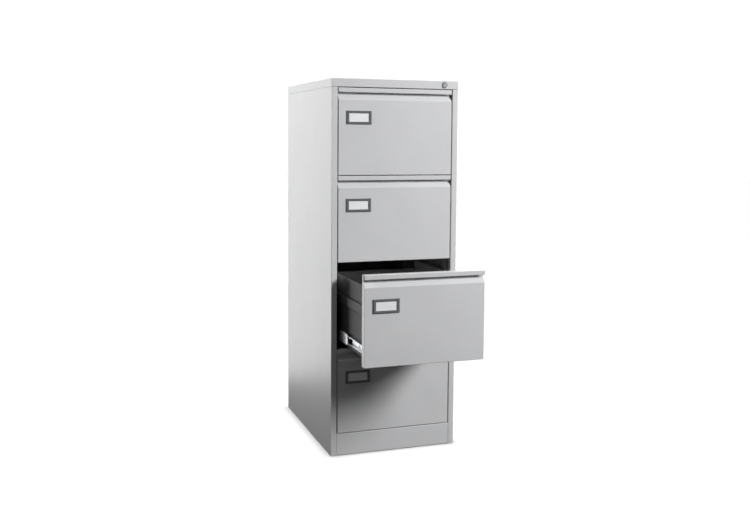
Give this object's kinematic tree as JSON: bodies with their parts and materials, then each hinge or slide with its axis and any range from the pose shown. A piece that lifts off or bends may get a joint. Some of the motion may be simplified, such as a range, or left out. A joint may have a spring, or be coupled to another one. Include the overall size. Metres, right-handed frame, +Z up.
{
  "type": "filing cabinet",
  "caption": "Tall light-grey steel filing cabinet with flush full-width drawers on telescopic slides, recessed grip bars, label frames and a cam lock in the top fascia.",
  "frame": {"origin": "middle of the carcase's footprint on the floor", "axes": "+X to the right of someone facing the drawers, +Y from the drawer faces to the back, +Z up"},
  "size_m": [0.47, 0.9152, 1.321],
  "materials": {
    "paint": "satin fine-textured powder coat, light grey",
    "zinc": "bright zinc plate",
    "label_frame": "satin dark grey",
    "label_card": "plain white card",
    "lock_chrome": "polished nickel chrome",
    "plastic": "black moulded acetal"
  },
  "bodies": {
    "cabinet": {"left_side_panel": "paint", "right_side_panel": "paint", "back_panel": "paint", "top_cover": "paint", "base_pan": "paint", "plinth": "paint", "left_front_upright": "paint", "right_front_upright": "paint", "left_rear_upright": "paint", "right_rear_upright": "paint", "lock_housing": "lock_chrome", "locking_bar_lower_guide": "plastic", "locking_bar_upper_guide": "plastic", "drawer_1_left_cabinet_rail": "zinc", "drawer_1_right_cabinet_rail": "zinc", "drawer_2_left_cabinet_rail": "zinc", "drawer_2_right_cabinet_rail": "zinc", "drawer_3_left_cabinet_rail": "zinc", "drawer_3_right_cabinet_rail": "zinc", "drawer_4_left_cabinet_rail": "zinc", "drawer_4_right_cabinet_rail": "zinc"},
    "drawer_1": {"drawer_1_front": "paint", "drawer_1_front_liner": "paint", "drawer_1_tray": "paint", "drawer_1_label_holder": "label_frame", "drawer_1_label_card": "label_card", "drawer_1_left_drawer_rail": "zinc", "drawer_1_right_drawer_rail": "zinc"},
    "drawer_1_middle_rails": {"drawer_1_left_middle_rail": "zinc", "drawer_1_right_middle_rail": "zinc"},
    "drawer_2": {"drawer_2_front": "paint", "drawer_2_front_liner": "paint", "drawer_2_tray": "paint", "drawer_2_label_holder": "label_frame", "drawer_2_label_card": "label_card", "drawer_2_left_drawer_rail": "zinc", "drawer_2_right_drawer_rail": "zinc"},
    "drawer_2_middle_rails": {"drawer_2_left_middle_rail": "zinc", "drawer_2_right_middle_rail": "zinc"},
    "drawer_3": {"drawer_3_front": "paint", "drawer_3_front_liner": "paint", "drawer_3_tray": "paint", "drawer_3_label_holder": "label_frame", "drawer_3_label_card": "label_card", "drawer_3_left_drawer_rail": "zinc", "drawer_3_right_drawer_rail": "zinc"},
    "drawer_3_middle_rails": {"drawer_3_left_middle_rail": "zinc", "drawer_3_right_middle_rail": "zinc"},
    "drawer_4": {"drawer_4_front": "paint", "drawer_4_front_liner": "paint", "drawer_4_tray": "paint", "drawer_4_label_holder": "label_frame", "drawer_4_label_card": "label_card", "drawer_4_left_drawer_rail": "zinc", "drawer_4_right_drawer_rail": "zinc"},
    "drawer_4_middle_rails": {"drawer_4_left_middle_rail": "zinc", "drawer_4_right_middle_rail": "zinc"},
    "lock_core": {"lock_plug": "lock_chrome", "lock_cam": "zinc"},
    "locking_bar": {"locking_bar": "zinc"}
  },
  "joints": [
    {"name": "drawer_1_slide", "type": "slide", "parent": "cabinet", "child": "drawer_1", "axis": [0, -1, 0], "range_m": [0, 0.5]},
    {"name": "drawer_1_middle_slide", "type": "slide", "parent": "cabinet", "child": "drawer_1_middle_rails", "axis": [0, -1, 0], "range_m": [0, 0.25]},
    {"name": "drawer_2_slide", "type": "slide", "parent": "cabinet", "child": "drawer_2", "axis": [0, -1, 0], "range_m": [0, 0.5]},
    {"name": "drawer_2_middle_slide", "type": "slide", "parent": "cabinet", "child": "drawer_2_middle_rails", "axis": [0, -1, 0], "range_m": [0, 0.25]},
    {"name": "drawer_3_slide", "type": "slide", "parent": "cabinet", "child": "drawer_3", "axis": [0, -1, 0], "range_m": [-0.29, 0.21]},
    {"name": "drawer_3_middle_slide", "type": "slide", "parent": "cabinet", "child": "drawer_3_middle_rails", "axis": [0, -1, 0], "range_m": [-0.145, 0.105]},
    {"name": "drawer_4_slide", "type": "slide", "parent": "cabinet", "child": "drawer_4", "axis": [0, -1, 0], "range_m": [0, 0.5]},
    {"name": "drawer_4_middle_slide", "type": "slide", "parent": "cabinet", "child": "drawer_4_middle_rails", "axis": [0, -1, 0], "range_m": [0, 0.25]},
    {"name": "lock_turn", "type": "hinge", "parent": "cabinet", "child": "lock_core", "pos_m": [0.182, -0.311, 1.3065], "axis": [0, 1, 0], "range_deg": [0, 90]},
    {"name": "locking_bar_lift", "type": "slide", "parent": "cabinet", "child": "locking_bar", "axis": [0, 0, 1], "range_m": [0, 0.01131]}
  ],
  "couplings": [
    {"joint": "drawer_1_middle_slide", "follows": "drawer_1_slide", "ratio": 0.5},
    {"joint": "drawer_2_middle_slide", "follows": "drawer_2_slide", "ratio": 0.5},
    {"joint": "drawer_3_middle_slide", "follows": "drawer_3_slide", "ratio": 0.5},
    {"joint": "drawer_4_middle_slide", "follows": "drawer_4_slide", "ratio": 0.5},
    {"joint": "lock_turn", "follows": "locking_bar_lift", "rad_per_m": 138.84}
  ]
}
